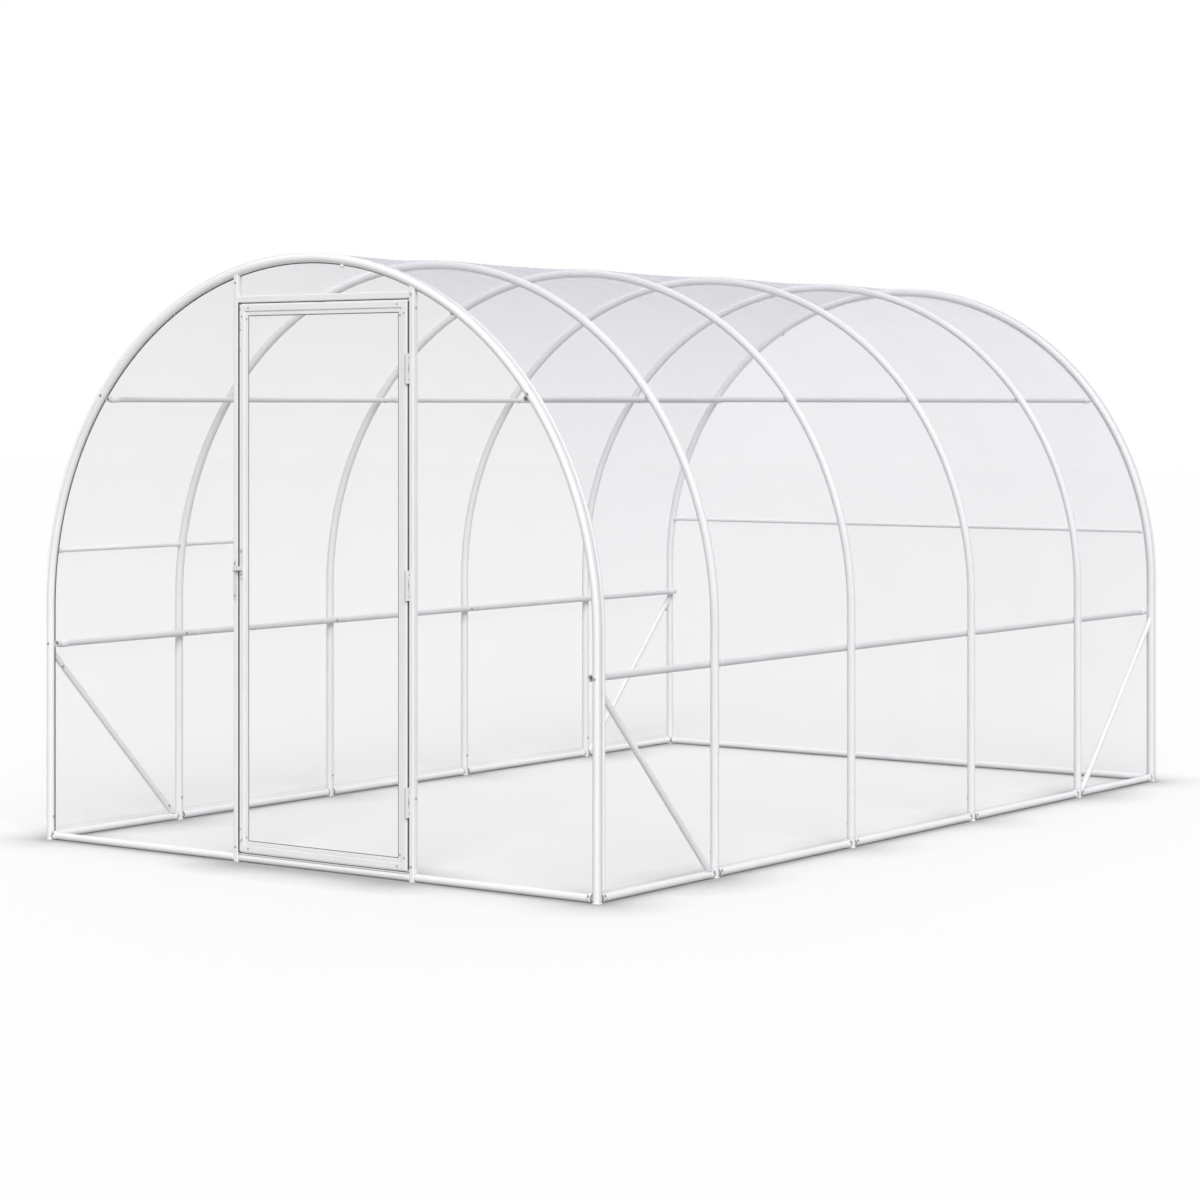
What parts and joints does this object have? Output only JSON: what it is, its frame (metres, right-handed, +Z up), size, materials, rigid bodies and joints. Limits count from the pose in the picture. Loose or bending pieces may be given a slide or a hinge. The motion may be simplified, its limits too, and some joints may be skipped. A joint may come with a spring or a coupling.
{
  "type": "polytunnel greenhouse",
  "caption": "Walk-in polytunnel greenhouse: bent tube hoops on ground rails, braced side rails, a clear film cover and a framed film door that swings outward.",
  "frame": {"origin": "ground level, in the middle of the outline", "axes": "+Z up, the door wall faces -Y, +X to the right seen from the front, length along Y"},
  "size_m": [2.5366, 4.0437, 2.1281],
  "materials": {
    "tube": "satin",
    "hardware": "satin",
    "film": "gloss"
  },
  "bodies": {
    "tunnel": {"back_cross_rail": "tube", "back_film": "film", "back_ground_rail": "tube", "cover_crown": "film", "cover_left_haunch": "film", "cover_left_wall": "film", "cover_right_haunch": "film", "cover_right_wall": "film", "door_header": "tube", "front_film_left": "film", "front_film_right": "film", "front_film_top": "film", "front_ground_rail": "tube", "hoop_1": "tube", "hoop_2": "tube", "hoop_3": "tube", "hoop_4": "tube", "hoop_5": "tube", "hoop_6": "tube", "latch_keeper": "hardware", "left_back_brace": "tube", "left_door_post": "tube", "left_front_brace": "tube", "left_ground_rail": "tube", "left_purlin": "tube", "left_thin_rail": "tube", "left_waist_rail": "tube", "post_hinge_leaves": "hardware", "right_back_brace": "tube", "right_door_post": "tube", "right_front_brace": "tube", "right_ground_rail": "tube", "right_purlin": "tube", "right_waist_rail": "tube", "threshold_strip": "tube"},
    "door": {"door_film": "film", "door_hinge_leaves": "hardware", "door_latch": "hardware", "door_rails": "tube", "door_stiles": "tube", "door_strip_rails": "tube", "door_strip_stiles": "tube"}
  },
  "joints": [
    {"name": "door_swing", "type": "hinge", "parent": "tunnel", "child": "door", "pos_m": [0.4705, -2.0136, 0.9957], "axis": [0, 0, 1], "range_deg": [0, 165]}
  ]
}
